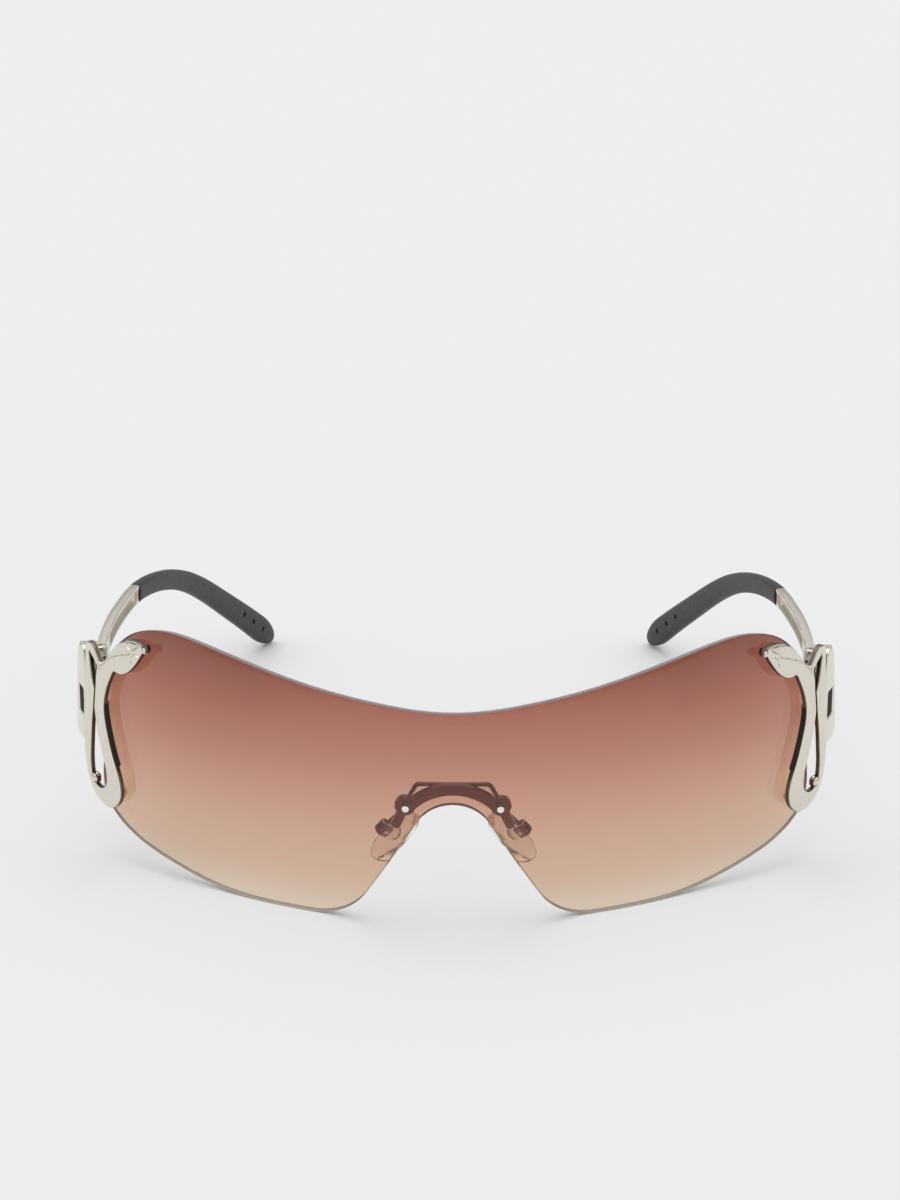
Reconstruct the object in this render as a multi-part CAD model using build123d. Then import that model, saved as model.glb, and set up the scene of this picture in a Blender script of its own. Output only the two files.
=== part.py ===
from build123d import *
import math
import os

# Shield sunglasses, in millimetres.
# X runs across the face (+X is the wearer's left), +Y runs back along the temples, +Z is up.
# The model is drawn with the middle of the lens at Y = 0 and the table at Z = 0, and is
# centred along Y when it is written out.

# ---- one-piece lens ----
lens_radius = 88.0            # outer face, part of one sphere
lens_thickness = 2.0
lens_centre_height = 24.0     # height of the sphere's centre
lens_half_width = 68.3
lens_corner_height = 51.1     # highest point of the top line
lens_brow_height = 44.1       # top line in the middle
lens_foot_reach = 32.0        # where each lower lobe touches the table
nose_arch_height = 26.45
nose_arch_radius = 7.85
nose_flank_angle = 30.6       # from upright
nose_foot_radius = 12.2

# ---- serpent end pieces ----
serpent_inset = 1.8856        # its middle line, in from the lens's end
serpent_outer_edge = 8.4      # from its middle line to the outer edge of the second strand
serpent_standoff = 1.0        # space between lens and serpent
serpent_thickness = 1.3
seam_gap = 0.25               # line where the two strands touch
cushion_width = 1.7
cushion_setback = 0.35        # from the serpent's inner edge
cushion_clearance = 0.05

# ---- posts and pins through the lens ----
post_diameter = 1.4
post_clearance = 0.03
post_sides = 8                # small posts, pins and bores: these many sides stand for round
barrel_sides = 16             # and these many for hinge barrels
nut_across_flats = 2.4
nut_height = 1.3
nut_chamfer = 0.25
seat_gap = 0.05               # left between pieces that rest on each other

# ---- bridge ----
bridge_arc_drop = 7.4         # centre of the bar's arc below the pins
bridge_arc_radius = 10.85
bridge_bar_width = 2.1
bridge_thickness = 1.0
bridge_lens_gap = 0.1
bridge_pin_half_span = 8.9
bridge_pin_height = 25.4
bridge_lug_diameter = 3.9
bridge_finger_width = 1.8
bridge_finger_out = 1.7       # end of each finger, outwards from its pin
bridge_finger_drop = 3.8      # and below it
pad_wire_diameter = 0.9
pad_wire_bend = 1.2
pad_wire_lead = 3.2           # straight run into the pad box

# ---- nose pads ----
pad_centre = (11.0, 9.5, 15.7)
pad_down = (0.62, 0.12, -0.775)       # long direction of the pad
pad_inward = (-0.69, 0.454, -0.552)   # towards the nose
pad_length = 12.6
pad_width = 6.0
pad_thickness = 2.2
pad_edge_chamfer = 0.7
pad_end_round = 1.9
pad_boss_diameter = 3.0
pad_boss_height = 0.9
pad_boss_offset = 0.8
tongue_width = 1.6
tongue_thickness = 0.9
tongue_clearance = 0.05
pad_pivot_depth = 3.4         # pivot behind the pad's middle plane
box_length = 2.6
box_width = 2.5
box_depth = 2.4
box_floor = 0.6
box_lip = 0.9                 # box in front of the pad's pivot
pad_screw_diameter = 0.8
pad_screw_clearance = 0.04

# ---- hinges ----
hinge_inset = 3.0221          # hinge line, in from the serpent's outer edge
hinge_setback = 0.53          # and behind it
hinge_bottom = 34.5
knuckle_height = 2.27
knuckle_gap = 0.06
knuckle_diameter = 2.6
hinge_screw_diameter = 1.2
hinge_screw_clearance = 0.04
hinge_plate_u = 4.1           # middle of the bracket on the serpent's drawing
hinge_plate_width = 1.8
hinge_plate_thickness = 0.9
hinge_web_width = 1.5
hinge_leaf_thickness = 1.0
hinge_leaf_start = 1.7        # behind the hinge line
hinge_leaf_end = 6.0
hinge_leaf_clearance = 0.05

# ---- temples, with every y measured back from the hinge line ----
blade_step = 6.0              # length of one straight facet along the temple
arm_start_y = 1.9
arm_end_y = 32.6
arm_thickness = 2.0
arm_height = 3.8
channel_depth = 0.9
channel_wall = 0.75
channel_start_y = 7.1
channel_end_y = 30.0
tang_thickness = 1.2
tang_height = 1.9
tang_end_y = 62.6
tang_clearance = 0.05
sleeve_gap = 0.05
sleeve_thickness = 2.8
sleeve_height_front = 3.9
sleeve_height_tip = 4.7
sleeve_chamfer = 0.7
tip_y = 96.2
panel_thickness = 1.2
panel_bottom = 20.9
panel_top = 41.3
panel_front_y_bottom = -0.8
panel_front_y_top = 0.9
panel_back_y_bottom = 8.2
panel_back_y_top = 3.8
panel_corner_round = 1.6
slot_bottom = 26.2
slot_top = 32.0
slot_front_y = 2.4
slot_back_y = 5.8
block_back_y = 5.8            # block that joins arm, panel and hinge leaf
block_bottom = 35.4

sphere_centre = Vector(0, lens_radius, lens_centre_height)
inner_radius = lens_radius - lens_thickness
serpent_turn = math.degrees(math.asin((lens_half_width - serpent_inset) / lens_radius))


def shell(low, high):
    """Hollow ball round the lens sphere's centre."""
    ball = Sphere(high) - Sphere(low)
    return Location(sphere_centre) * ball


def closed_face(*curves):
    """Face inside a closed chain of curves."""
    edges = [edge for curve in curves for edge in curve.edges()]
    return make_face(edges)


def band(stations, widths):
    """Flat strip of changing width round a line of stations."""
    left = []
    right = []
    last = len(stations) - 1
    for i, (x, y) in enumerate(stations):
        before = stations[max(i - 1, 0)]
        after = stations[min(i + 1, last)]
        along = Vector(after[0] - before[0], after[1] - before[1]).normalized()
        side = Vector(-along.Y, along.X) * (widths[i] / 2)
        left.append((x + side.X, y + side.Y))
        right.append((x - side.X, y - side.Y))
    one = Spline(*left)
    two = Spline(*right)
    return closed_face(one, Line(left[-1], right[-1]), two, Line(right[0], left[0]))


def depth_on_sphere(x, z, radius):
    """Y of the front of a ball of this radius round the lens centre."""
    return lens_radius - math.sqrt(radius**2 - x**2 - (z - lens_centre_height) ** 2)


def other_side(part):
    return mirror(part, about=Plane.YZ)


def keep_all(solids):
    """One shape that holds several separate solids."""
    return Compound(children=[solid for item in solids for solid in item.solids()])


# ---- lens ----
def lens_outline():
    half = lens_half_width
    top = lens_corner_height
    brow = lens_brow_height
    rim = Spline(
        (lens_foot_reach, 0),
        (0.66 * half, 0.012 * top),
        (0.81 * half, 0.058 * top),
        (0.93 * half, 0.118 * top),
        (0.983 * half, 0.185 * top),
        (half, 0.42 * top),
        (0.992 * half, 0.70 * top),
        (0.965 * half, 0.835 * top),
        (0.90 * half, 0.94 * top),
        (0.80 * half, 0.992 * top),
        (0.70 * half, 0.991 * top),
        (0.44 * half, brow + 0.52 * (top - brow)),
        (0.22 * half, brow + 0.19 * (top - brow)),
        (0, brow),
        tangents=[(1, 0), (-1, 0)],
    )
    lean = math.radians(nose_flank_angle)
    arc_centre = nose_arch_height - nose_arch_radius
    shoulder = (nose_arch_radius * math.cos(lean), arc_centre + nose_arch_radius * math.sin(lean))
    foot = (shoulder[0] + shoulder[1] * math.tan(lean), 0)
    arch = CenterArc((0, arc_centre), nose_arch_radius, nose_flank_angle, 90 - nose_flank_angle)
    flank = FilletPolyline(shoulder, foot, (lens_foot_reach, 0), radius=nose_foot_radius)
    half_outline = rim.edges() + flank.edges() + arch.edges()
    mirrored = [mirror(edge, about=Plane.YZ) for edge in half_outline]
    return make_face(list(half_outline) + mirrored)


def radial_plane(u, v):
    """Plane on the lens's outer face at (u, v) of the serpent's drawing, facing out."""
    turn = math.radians(serpent_turn)
    outward = Vector(math.sin(turn), -math.cos(turn), 0)
    along = Vector(math.cos(turn), math.sin(turn), 0)
    reach = math.sqrt(lens_radius**2 - u**2 - (v - lens_centre_height) ** 2)
    spoke = along * u + outward * reach + Vector(0, 0, v - lens_centre_height)
    return Plane(origin=sphere_centre + spoke, z_dir=spoke.normalized())


def lens_normal_plane(x, z):
    """Plane on the lens's outer face at (x, z), facing out."""
    point = Vector(x, depth_on_sphere(x, z, lens_radius), z)
    return Plane(origin=point, z_dir=(point - sphere_centre).normalized())


serpent_drawing = Plane(
    origin=(0, lens_radius, 0),
    x_dir=(math.cos(math.radians(serpent_turn)), math.sin(math.radians(serpent_turn)), 0),
    z_dir=(math.sin(math.radians(serpent_turn)), -math.cos(math.radians(serpent_turn)), 0),
)
serpent_inner = lens_radius + serpent_standoff
serpent_outer = serpent_inner + serpent_thickness
corner_reach = math.sqrt(lens_radius**2 - serpent_outer_edge**2)
serpent_corner = serpent_drawing.from_local_coords((serpent_outer_edge, 0, corner_reach))
hinge_x = serpent_corner.X - hinge_inset
hinge_y = serpent_corner.Y + hinge_setback
serpent_posts = [(-2.2, 43.6), (0.6, 13.0)]
serpent_planes = [radial_plane(u, v) for u, v in serpent_posts]
bridge_planes = [
    lens_normal_plane(bridge_pin_half_span, bridge_pin_height),
    lens_normal_plane(-bridge_pin_half_span, bridge_pin_height),
]


def rod(plane, diameter, low, high):
    """Cylinder on a plane's axis, between two heights over the plane."""
    return extrude(plane.offset(low) * Circle(diameter / 2), amount=high - low)


def peg(plane, diameter, low, high, clearance=0.0):
    """Small post, pin or, with a clearance, its hole, between two heights over the plane."""
    section = RegularPolygon(diameter / 2 + clearance, post_sides)
    return extrude(plane.offset(low) * section, amount=high - low)


def make_lens():
    prism = extrude(Plane.XZ * lens_outline(), amount=lens_radius * 2, both=True)
    ball = Location(sphere_centre) * Sphere(lens_radius)
    patches = (ball.faces()[0] & prism).faces()
    front = patches.sort_by(Axis.Y)[0]
    lens = Part() + Solid.thicken(front, -lens_thickness)
    bore = (post_diameter, -2 * lens_thickness, lens_thickness, post_clearance)
    holes = [peg(plane, *bore) for plane in serpent_planes]
    holes += [other_side(hole) for hole in holes]
    holes += [peg(plane, *bore) for plane in bridge_planes]
    for hole in holes:
        lens -= hole
    return lens


# ---- serpent ----
def serpent_outline():
    """Front of the serpent: u runs outwards along the lens, v is the height."""
    notch = (-2.0, 40.5)
    apex_outer = (serpent_outer_edge, 43.5)
    apex_inner = (4.9, 44.2)
    neck = (2.3, 40.9)
    snout_top = (-9.6, 47.3)
    snout_low = (-9.4, 46.5)
    body = Spline(
        notch, (-0.5, 36.4), (-0.1, 32.8), (-1.3, 28.1), (-3.1, 23.0), (-4.7, 18.2), (-4.5, 14.9),
        (-2.7, 12.3), (0.3, 10.8), (3.2, 11.5), (5.5, 14.0), (6.5, 18.5), (6.7, 26.0), (7.0, 36.0),
        (7.8, 41.3), apex_outer,
    )
    limb = Line(apex_inner, neck)
    crown = Spline(
        neck, (0.4, 42.7), (-1.2, 45.1), (-2.7, 46.6), (-4.6, 47.5), (-6.8, 47.9), (-8.5, 47.7),
        snout_top,
    )
    jaw = Spline(snout_low, (-8.6, 44.7), (-7.3, 42.7), (-5.7, 41.2), (-3.9, 40.5), notch)
    return closed_face(body, Line(apex_outer, apex_inner), limb, crown, Line(snout_top, snout_low), jaw)


def serpent_openings():
    seam = 3.25
    half = seam_gap / 2
    v_low = 35.4
    drop_top = 31.6
    v_top = (6.5, 41.9)
    v_neck = (3.15, 40.0)
    wedge_left = (seam - half, v_low)
    wedge_right = (seam + half, v_low)
    wedge = Polyline(wedge_left, v_neck, v_top, wedge_right)
    drop_left = (seam - half, drop_top)
    drop_right = (seam + half, drop_top)
    drop_inner = Spline(
        drop_left, (1.4, 25.5), (-0.35, 18.8), (1.9, 14.7), (4.6, 17.8), (4.0, 24.6), drop_right,
    )
    seam_left = Line(drop_left, wedge_left)
    seam_right = Line(wedge_right, drop_right)
    return closed_face(seam_left, wedge, seam_right, drop_inner)


def cushion_outline():
    """Strip under the inner edge of the first strand."""
    inset = cushion_width / 2 + cushion_setback
    line = Spline(
        (inset - 0.1, 32.0), (inset - 0.8, 29.6), (inset - 2.1, 26.0), (inset - 3.8, 21.1),
    )
    return trace(line, cushion_width)


def through_lens(drawing):
    """Prism of a drawing on the serpent's plane, long enough to pass the lens."""
    return extrude(serpent_drawing * drawing, amount=2 * lens_radius)


def make_serpent():
    sheet = shell(serpent_inner, serpent_outer)
    serpent = sheet & through_lens(serpent_outline() - serpent_openings())
    post_low = -lens_thickness - seat_gap
    for plane in serpent_planes:
        serpent += peg(plane, post_diameter, post_low, serpent_standoff + serpent_thickness / 2)
    return serpent


def make_cushion():
    layer = shell(lens_radius + cushion_clearance, serpent_inner - cushion_clearance)
    return layer & through_lens(cushion_outline())


def make_nuts():
    """Hexagon nuts that close the serpent's posts behind the lens."""
    nuts = []
    top = -lens_thickness - 2 * seat_gap
    for plane in serpent_planes:
        hexagon = RegularPolygon(nut_across_flats / 2, 6, major_radius=False)
        nut = extrude(plane.offset(top - nut_height) * hexagon, amount=nut_height)
        low_face = nut.faces().sort_by(Axis(plane.origin, plane.z_dir))[0]
        nuts.append(chamfer(low_face.edges(), nut_chamfer))
    return keep_all(nuts)


# ---- bridge ----
bridge_arc_height = bridge_pin_height - bridge_arc_drop
bridge_outer = inner_radius - bridge_lens_gap
bridge_inner = bridge_outer - bridge_thickness


def bridge_outline():
    bow = CenterArc((0, bridge_arc_height), bridge_arc_radius, 40, 100)
    drawing = trace(bow, bridge_bar_width)
    for side in (1, -1):
        lug = (side * bridge_pin_half_span, bridge_pin_height)
        end_x = side * (bridge_pin_half_span + bridge_finger_out)
        end = (end_x, bridge_pin_height - bridge_finger_drop)
        drawing += Location(lug) * Circle(bridge_lug_diameter / 2)
        drawing += trace(Line(lug, end), bridge_finger_width)
        drawing += Location(end) * Circle(bridge_finger_width / 2)
    return drawing


def make_bridge():
    bar = extrude(Plane.XZ * bridge_outline(), amount=lens_half_width, both=True)
    bar &= shell(bridge_inner, bridge_outer)
    for plane in bridge_planes:
        bar -= peg(plane, post_diameter, -3 * lens_thickness, 0)
    return bar


def bridge_pins():
    """Polished pins that hold the bar and end level with the lens."""
    pin_low = -lens_thickness - bridge_lens_gap - bridge_thickness
    return keep_all([peg(plane, post_diameter, pin_low, 0) for plane in bridge_planes])


# ---- nose pads ----
pad_plane = Plane(origin=pad_centre, x_dir=pad_down, z_dir=pad_inward)
pivot_local = (-pad_boss_offset, -pad_pivot_depth)


def pad_block(length, width, low, high, x=-pad_boss_offset):
    """Block square to the pad, between two heights over its middle plane."""
    return extrude(pad_plane.offset(low) * Pos(x, 0) * Rectangle(length, width), amount=high - low)


pivot_plane = Plane(
    origin=pad_plane.from_local_coords((pivot_local[0], 0, pivot_local[1])),
    x_dir=pad_plane.x_dir,
    z_dir=-pad_plane.y_dir,
)
box_front = -pad_pivot_depth + box_lip
box_back = box_front - box_depth


def make_pad():
    back = -pad_thickness / 2
    point = pad_length / 2 + pad_end_round * 0.4
    side = ThreePointArc((-point, 0), (0, pad_width / 2), (point, 0))
    outline = make_face(side.edges() + mirror(side, about=Plane.XZ).edges())
    outline = fillet(outline.vertices(), pad_end_round)
    body = extrude(pad_plane.offset(back) * outline, amount=pad_thickness)
    flat_faces = body.faces().filter_by(Axis(pad_plane.origin, pad_plane.z_dir))
    body = chamfer(flat_faces.edges(), pad_edge_chamfer)
    spot = pad_plane.offset(back - pad_boss_height) * Pos(-pad_boss_offset, 0)
    boss = RegularPolygon(pad_boss_diameter / 2, 2 * post_sides)
    boss = extrude(spot * boss, amount=pad_boss_height + pad_thickness / 2)
    tongue = pad_block(tongue_width, tongue_thickness, -pad_pivot_depth, back)
    half = tongue_thickness / 2
    round_end = RegularPolygon(tongue_width / 2, barrel_sides)
    tongue += extrude(pivot_plane.offset(-half) * round_end, amount=tongue_thickness)
    hole = peg(pivot_plane, pad_screw_diameter, -box_width, box_width, pad_screw_clearance)
    return body + boss + tongue - hole


def make_pad_box():
    box = pad_block(box_length, box_width, box_back, box_front)
    slot_width = tongue_thickness + 2 * tongue_clearance
    slot = pad_block(2 * box_length, slot_width, box_back + box_floor, box_front)
    return box - slot - peg(pivot_plane, pad_screw_diameter, -box_width, box_width)


def make_pad_screw():
    half = box_width / 2
    return peg(pivot_plane, pad_screw_diameter, -half, half)


def make_pad_wire():
    """One wire, brazed behind the bridge bar, with an end on each pad box."""
    middle = bridge_inner - seat_gap - pad_wire_diameter / 2
    top = bridge_arc_height + bridge_arc_radius + bridge_bar_width * 0.2
    box_top = pad_plane.from_local_coords(
        (-pad_boss_offset - box_length / 2, 0, (box_front + box_back) / 2)
    )
    corner = (0.76 * bridge_pin_half_span, top)
    half = [
        Vector(corner[0], depth_on_sphere(*corner, middle), corner[1]),
        box_top + pad_plane.x_dir * -pad_wire_lead,
        box_top,
    ]
    left = [Vector(-p.X, p.Y, p.Z) for p in half]
    centre = Vector(0, depth_on_sphere(0, top, middle), top)
    route = left[::-1] + [centre] + half
    line = FilletPolyline(*route, radius=pad_wire_bend)
    start = Plane(origin=line @ 0, z_dir=line % 0)
    return sweep(start * RegularPolygon(pad_wire_diameter / 2, post_sides), path=line)


# ---- hinges ----
hinge_plane = Plane(origin=(hinge_x, hinge_y, hinge_bottom))
front_knuckles = (0, 2)
temple_knuckles = (1,)
knuckle_pitch = knuckle_height + knuckle_gap
hinge_height = 3 * knuckle_height + 2 * knuckle_gap


def knuckle(level):
    barrel = RegularPolygon(knuckle_diameter / 2, barrel_sides)
    return extrude(hinge_plane.offset(level * knuckle_pitch) * barrel, amount=knuckle_height)


def make_hinge_front():
    """Brazed behind the serpent's fold: a backing plate that carries two knuckles."""
    back = serpent_inner - seat_gap
    window = Pos(hinge_plate_u, hinge_bottom + hinge_height / 2)
    window = window * Rectangle(hinge_plate_width, hinge_height)
    bracket = shell(back - hinge_plate_thickness, back) & through_lens(window)
    for level in front_knuckles:
        low = level * knuckle_pitch
        rise = hinge_bottom + low + knuckle_height / 2 - lens_centre_height
        depth = math.sqrt(back**2 - hinge_plate_u**2 - rise**2)
        anchor = serpent_drawing.from_local_coords((hinge_plate_u, 0, depth))
        run = math.hypot(anchor.X - hinge_x, anchor.Y - hinge_y)
        bearing = math.degrees(math.atan2(anchor.X - hinge_x, hinge_y - anchor.Y))
        web = Rot(0, 0, bearing) * Pos(0, -run / 2) * Rectangle(hinge_web_width, run)
        bracket += extrude(hinge_plane.offset(low) * web, amount=knuckle_height)
    bracket &= Location(sphere_centre) * Sphere(back)
    for level in front_knuckles:
        bracket += knuckle(level)
    return bracket - peg(hinge_plane, hinge_screw_diameter, -1, hinge_height + 1)


def leaf_block(start, low, high, clearance=0.0):
    """Flat leaf behind the hinge line, between two heights over the hinge's foot."""
    length = hinge_leaf_end - start + 2 * clearance
    leaf = Pos(0, start - clearance + length / 2)
    leaf = leaf * Rectangle(hinge_leaf_thickness + 2 * clearance, length)
    return extrude(hinge_plane.offset(low - clearance) * leaf, amount=high - low + 2 * clearance)


leaf_low = temple_knuckles[0] * knuckle_pitch
leaf_high = temple_knuckles[-1] * knuckle_pitch + knuckle_height


def make_hinge_temple():
    """Leaf let into the temple, with the middle knuckle."""
    hinge = leaf_block(hinge_leaf_start, leaf_low, leaf_high)
    for level in temple_knuckles:
        low = level * knuckle_pitch
        hinge += knuckle(level) + leaf_block(0, low, low + knuckle_height)
    bore = hinge_screw_diameter / 2 + hinge_screw_clearance
    bore = RegularPolygon(bore, barrel_sides, major_radius=False)
    return hinge - extrude(hinge_plane * bore, amount=hinge_height)


def make_hinge_screw():
    return peg(hinge_plane, hinge_screw_diameter, 0, hinge_height)


# ---- temples ----
temple_points = [
    (0, -7.4, 39.5), (0, 0.9, 39.6), (-0.2, 8.6, 39.6), (-0.9, 16.6, 39.5), (-2.2, 25.1, 39.2),
    (-3.7, 32.6, 38.7), (-6.0, 41.6, 37.0), (-8.5, 50.6, 34.1), (-12.3, 62.6, 28.2),
    (-15.4, 70.6, 22.5), (-18.7, 78.6, 16.0), (-22.4, 86.6, 9.1), (-25.9, 93.6, 2.6),
    (-28.9, 99.6, -2.8),
]
temple_line = Spline(*[(hinge_x + x, hinge_y + y, z) for x, y, z in temple_points])
panel_line = [(2.4, -2.8), (3.0, -0.6), (4.1, 2.2), (5.4, 5.6), (6.1, 8.2), (6.5, 9.6)]


def temple_plane(y):
    """Plane square to the temple at a distance behind the hinge, its X pointing outwards."""
    low = 0.0
    high = 1.0
    for _ in range(40):
        middle = (low + high) / 2
        if (temple_line @ middle).Y < hinge_y + y:
            low = middle
        else:
            high = middle
    tangent = temple_line % low
    across = Vector(tangent.Y, -tangent.X, 0).normalized()
    return Plane(origin=temple_line @ low, x_dir=across, z_dir=tangent)


def temple_blade(low_y, high_y, thickness, height, end_height=None, corner=0.0, shift=0.0):
    """Solid along the temple's middle line, between two distances behind the hinge."""
    steps = math.ceil((high_y - low_y) / blade_step)
    sections = []
    for i in range(steps + 1):
        share = i / steps
        tall = height
        if end_height is not None:
            tall += (end_height - height) * share
        outline = Rectangle(thickness, tall)
        if corner:
            outline = chamfer(outline.vertices(), corner)
        place = temple_plane(low_y + (high_y - low_y) * share)
        sections.append(place * Pos(shift, 0) * outline)
    return loft(sections, ruled=True)


def make_panel():
    """Outer plate of the temple: it carries on the serpent's wrap, with an upright slot."""
    middle = [(x - panel_thickness / 2, y) for x, y in panel_line]
    sheet = extrude(band(middle, [panel_thickness] * len(middle)), amount=lens_corner_height)
    corners = [
        (panel_front_y_bottom, panel_bottom), (panel_back_y_bottom, panel_bottom),
        (panel_back_y_top, panel_top), (panel_front_y_top, panel_top),
    ]
    side = make_face(Polyline(*corners, close=True).edges())
    side = fillet(side.vertices().sort_by(Axis.X)[-2:], panel_corner_round)
    slot = Pos((slot_front_y + slot_back_y) / 2, (slot_bottom + slot_top) / 2)
    side -= slot * Rectangle(slot_back_y - slot_front_y, slot_top - slot_bottom)
    return Pos(hinge_x, hinge_y) * (sheet & extrude(Plane.YZ * side, amount=lens_half_width * 2))


def make_arm():
    """Arm with a channel in its inner face, the tang inside the sleeve, and the outer panel."""
    arm = temple_blade(arm_start_y, arm_end_y, arm_thickness, arm_height)
    rail = arm_height - 2 * channel_wall
    inner_face = -arm_thickness / 2
    arm -= temple_blade(channel_start_y, channel_end_y, 2 * channel_depth, rail, shift=inner_face)
    pocket = temple_plane(channel_end_y)
    pocket = Plane(origin=pocket.origin, x_dir=pocket.z_dir, z_dir=pocket.x_dir)
    arm -= rod(pocket, rail, inner_face - channel_depth, inner_face + channel_depth)
    arm += temple_blade(arm_end_y - 1, tang_end_y, tang_thickness, tang_height)
    front_x, front_y, level = temple_points[1]
    inner_x = front_x - arm_thickness / 2
    mid_x, mid_y = panel_line[2]
    back_x, back_y = panel_line[3]
    block = Polyline(
        (inner_x, arm_start_y), (mid_x - panel_thickness / 2, arm_start_y),
        (back_x - panel_thickness / 2, block_back_y), (inner_x, block_back_y), close=True,
    )
    block_top = level + arm_height / 2
    block = make_face(block.edges())
    block = extrude(Plane.XY.offset(block_bottom) * block, amount=block_top - block_bottom)
    leaf_slot = leaf_block(hinge_leaf_start, leaf_low, leaf_high, hinge_leaf_clearance)
    return arm + make_panel() + Pos(hinge_x, hinge_y) * block - leaf_slot


def make_sleeve():
    """Soft sleeve over the tang, with a half-round end."""
    heights = (sleeve_height_front, sleeve_height_tip)
    body = temple_blade(arm_end_y + sleeve_gap, tip_y, sleeve_thickness, *heights, sleeve_chamfer)
    end = temple_plane(tip_y - sleeve_height_tip * 0.5)
    side = Plane(origin=end.origin, x_dir=end.z_dir, z_dir=end.x_dir)
    outline = Circle(sleeve_height_tip / 2)
    outline += Pos(-lens_half_width, 0) * Rectangle(lens_half_width * 2, lens_half_width)
    body &= extrude(side * outline, amount=lens_half_width / 2, both=True)
    bore = tang_thickness + 2 * tang_clearance
    bore_height = tang_height + 2 * tang_clearance
    body -= temple_blade(arm_end_y - 1, tang_end_y + tang_clearance, bore, bore_height)
    return body


# ---- write the pieces ----
lens = make_lens()
serpent = make_serpent()
cushion = make_cushion()
nuts = make_nuts()
hinge_front = make_hinge_front()
hinge_temple = make_hinge_temple()
hinge_screw = make_hinge_screw()
pad = make_pad()
pad_box = make_pad_box()
pad_screw = make_pad_screw()
arm = make_arm()
sleeve = make_sleeve()

pieces = {
    "shield_lens": lens,
    "bridge_bar": make_bridge(),
    "bridge_pins": bridge_pins(),
    "pad_wire": make_pad_wire(),
}
paired = {
    "serpent": serpent,
    "serpent_cushion": cushion,
    "serpent_nuts": nuts,
    "hinge_front": hinge_front,
    "hinge_temple": hinge_temple,
    "hinge_screw": hinge_screw,
    "pad_box": pad_box,
    "pad_screw": pad_screw,
    "nose_pad": pad,
    "temple_arm": arm,
    "temple_sleeve": sleeve,
}
for name, part in paired.items():
    pieces[name + "_left"] = part
    pieces[name + "_right"] = other_side(part)

whole = Compound(children=[solid for part in pieces.values() for solid in part.solids()])
box = whole.bounding_box()
to_origin = Pos(0, -(box.min.Y + box.max.Y) / 2, -box.min.Z)
os.makedirs("parts", exist_ok=True)
for name, part in pieces.items():
    export_step(to_origin * part, f"parts/{name}.step")
print("moved by", to_origin.position, "size", box.size)
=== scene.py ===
import math

import bmesh
import bpy
import numpy as np
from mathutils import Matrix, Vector
from mathutils.geometry import delaunay_2d_cdt


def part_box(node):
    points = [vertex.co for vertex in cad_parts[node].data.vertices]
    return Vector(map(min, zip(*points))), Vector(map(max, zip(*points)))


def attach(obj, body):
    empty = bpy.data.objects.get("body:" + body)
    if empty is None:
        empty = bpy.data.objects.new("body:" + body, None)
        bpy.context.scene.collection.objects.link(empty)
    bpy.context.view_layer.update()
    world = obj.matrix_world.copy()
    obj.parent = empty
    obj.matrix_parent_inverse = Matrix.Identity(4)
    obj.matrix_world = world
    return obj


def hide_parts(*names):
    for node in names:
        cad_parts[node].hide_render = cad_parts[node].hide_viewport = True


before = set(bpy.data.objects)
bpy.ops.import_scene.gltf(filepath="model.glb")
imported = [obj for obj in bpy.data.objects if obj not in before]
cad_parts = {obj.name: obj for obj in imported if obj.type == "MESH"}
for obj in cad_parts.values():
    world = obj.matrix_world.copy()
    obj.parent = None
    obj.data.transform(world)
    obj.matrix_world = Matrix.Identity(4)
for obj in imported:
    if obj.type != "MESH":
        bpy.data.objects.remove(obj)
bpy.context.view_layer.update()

# Sizes here are millimetres; MM turns them into the frame's metres.
# Places come from the frame: the lens's foremost point sets Y, and its middle is X = 0.
MM = 0.001
lens_low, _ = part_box("shield_lens")
front_y = lens_low.y / MM

# ---- sizes shared with the solids ----
lens_radius = 88.0
lens_thickness = 2.0
lens_centre_height = 24.0
lens_half_width = 68.3
lens_corner_height = 51.1
lens_brow_height = 44.1
lens_foot_reach = 32.0
nose_arch_height = 26.45
nose_arch_radius = 7.85
nose_flank_angle = 30.6
nose_foot_radius = 12.2
lens_edge_round = 0.22
lens_centre = Vector((0, front_y + lens_radius, lens_centre_height))

serpent_turn = 49.0
serpent_standoff = 1.0
serpent_low = lens_radius + serpent_standoff
serpent_thickness = 1.3
serpent_bevel = 0.32
seam_gap = 0.25
serpent_posts = [(-2.2, 43.6), (0.6, 13.0)]
post_diameter = 1.4
bore_clearance = 0.03
seat_gap = 0.05               # left between pieces that rest on each other
strip_head = 33.4
strip_foot = 21.0
strip_lip = 0.14
strip_rise = 0.86
strip_clearance = 0.03
cushion_width = 1.7
cushion_setback = 0.35

bridge_pin_half_span = 8.9
bridge_pin_height = 25.4
bridge_lens_gap = 0.1
bridge_thickness = 1.0
bridge_arc_height = 18.0
bridge_arc_radius = 10.85
bridge_bar_width = 2.1

pad_centre = Vector((11.0, 9.5, 15.7))
pad_down = Vector((0.62, 0.12, -0.775))
pad_inward = Vector((-0.69, 0.454, -0.552))
pad_length = 12.6
pad_width = 6.0
pad_thickness = 2.2
pad_boss_diameter = 3.0
pad_boss_height = 0.9
pad_boss_offset = 0.8
pad_pivot_depth = 3.4
tongue_width = 1.6
tongue_thickness = 0.9
box_length = 2.6
box_depth = 2.4
box_lip = 0.9
box_width = 2.5
box_floor = 0.6
pad_wire_diameter = 0.9
pad_wire_lead = 3.2
pad_wire_bend = 1.2

hinge_x = 68.6
hinge_y = 37.4
hinge_bottom = 34.5
hinge_height = 6.93
hinge_screw_diameter = 1.2
hinge_screw_head = 2.2
hinge_screw_head_height = 0.6
hinge_slot_width = 0.4

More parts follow.
